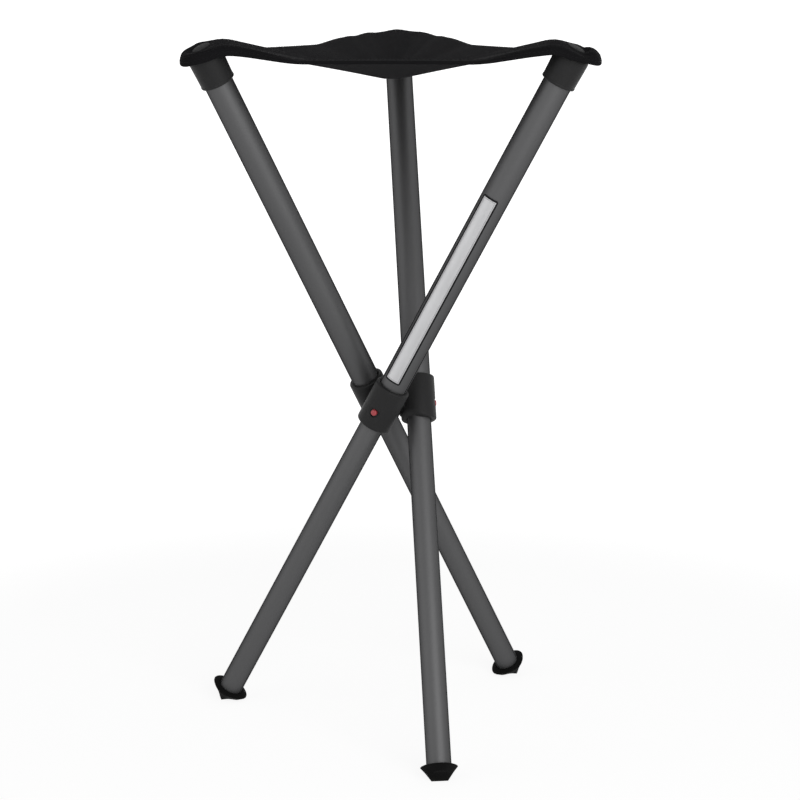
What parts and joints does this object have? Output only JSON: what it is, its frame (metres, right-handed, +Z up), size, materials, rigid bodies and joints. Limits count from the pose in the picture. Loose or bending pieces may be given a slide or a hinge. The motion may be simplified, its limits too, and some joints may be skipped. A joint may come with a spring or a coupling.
{
  "type": "telescopic tripod stool",
  "caption": "Folding tripod stool with telescopic tube legs that cross at a pivoting hub, push-button leg locks, rubber feet and a triangular sling seat.",
  "frame": {"origin": "on the floor, under the middle of the hub", "axes": "+Z up along the hub's axis; the pivot axle of leg a points 114 degrees clockwise of +X seen from above, those of legs b and c follow at 120 degree steps"},
  "size_m": [0.3354, 0.3541, 0.6015],
  "materials": {
    "anodised_tube": "satin dark grey anodised",
    "black_nylon": "moulded, fine matt grain",
    "black_rubber": "matt",
    "black_webbing": "close black weave",
    "red_button": "satin red",
    "bare_steel": "bright",
    "grey_rivet": "satin dark grey",
    "white_nylon": "natural nylon",
    "silver_foil": "satin foil with a thin dark frame"
  },
  "bodies": {
    "hub": {"centre_hub": "black_nylon", "seat": "black_webbing", "pivot_pin_a": "bare_steel", "pivot_pin_b": "bare_steel", "pivot_pin_c": "bare_steel", "pivot_washer_a": "white_nylon", "pivot_washer_b": "white_nylon", "pivot_washer_c": "white_nylon"},
    "leg_a": {"upper_tube_a": "anodised_tube", "corner_cap_a": "black_nylon", "seat_rivet_a": "grey_rivet", "hub_collar_a": "black_nylon", "leg_label": "silver_foil"},
    "lower_leg_a": {"lower_tube_a": "anodised_tube", "guide_plug_a": "white_nylon", "lock_spring_a": "bare_steel", "rubber_foot_a": "black_rubber"},
    "button_a": {"lock_button_a": "red_button"},
    "leg_b": {"upper_tube_b": "anodised_tube", "corner_cap_b": "black_nylon", "seat_rivet_b": "grey_rivet", "hub_collar_b": "black_nylon"},
    "lower_leg_b": {"lower_tube_b": "anodised_tube", "guide_plug_b": "white_nylon", "lock_spring_b": "bare_steel", "rubber_foot_b": "black_rubber"},
    "button_b": {"lock_button_b": "red_button"},
    "leg_c": {"upper_tube_c": "anodised_tube", "corner_cap_c": "black_nylon", "seat_rivet_c": "grey_rivet", "hub_collar_c": "black_nylon"},
    "lower_leg_c": {"lower_tube_c": "anodised_tube", "guide_plug_c": "white_nylon", "lock_spring_c": "bare_steel", "rubber_foot_c": "black_rubber"},
    "button_c": {"lock_button_c": "red_button"}
  },
  "joints": [
    {"name": "fold_a", "type": "hinge", "parent": "hub", "child": "leg_a", "pos_m": [-0.00936, -0.02101, 0.28513], "axis": [-0.4067, -0.9135, 0], "range_deg": [0, 29], "deforming": ["seat"]},
    {"name": "telescope_a", "type": "slide", "parent": "leg_a", "child": "lower_leg_a", "axis": [0.4429, -0.1972, 0.8746], "range_m": [0, 0.28], "deforming": ["lock_spring_a"]},
    {"name": "press_a", "type": "slide", "parent": "leg_a", "child": "button_a", "axis": [0.4067, 0.9135, 0], "range_m": [0, 0.0016], "stiffness_N_per_m": 600, "springref_m": -0.002, "deforming": ["lock_spring_a"]},
    {"name": "fold_b", "type": "hinge", "parent": "hub", "child": "leg_b", "pos_m": [0.02287, 0.0024, 0.28513], "axis": [0.9945, 0.1045, 0], "range_deg": [0, 29], "deforming": ["seat"]},
    {"name": "telescope_b", "type": "slide", "parent": "leg_b", "child": "lower_leg_b", "axis": [-0.0507, 0.4822, 0.8746], "range_m": [0, 0.28], "deforming": ["lock_spring_b"]},
    {"name": "press_b", "type": "slide", "parent": "leg_b", "child": "button_b", "axis": [-0.9945, -0.1045, 0], "range_m": [0, 0.0016], "stiffness_N_per_m": 600, "springref_m": -0.002, "deforming": ["lock_spring_b"]},
    {"name": "fold_c", "type": "hinge", "parent": "hub", "child": "leg_c", "pos_m": [-0.01352, 0.01861, 0.28513], "axis": [-0.5878, 0.809, 0], "range_deg": [0, 29], "deforming": ["seat"]},
    {"name": "telescope_c", "type": "slide", "parent": "leg_c", "child": "lower_leg_c", "axis": [-0.3922, -0.285, 0.8746], "range_m": [0, 0.28], "deforming": ["lock_spring_c"]},
    {"name": "press_c", "type": "slide", "parent": "leg_c", "child": "button_c", "axis": [0.5878, -0.809, 0], "range_m": [0, 0.0016], "stiffness_N_per_m": 600, "springref_m": -0.002, "deforming": ["lock_spring_c"]}
  ],
  "couplings": [
    {"joint": "fold_b", "follows": "fold_a", "ratio": 1},
    {"joint": "fold_c", "follows": "fold_a", "ratio": 1}
  ]
}
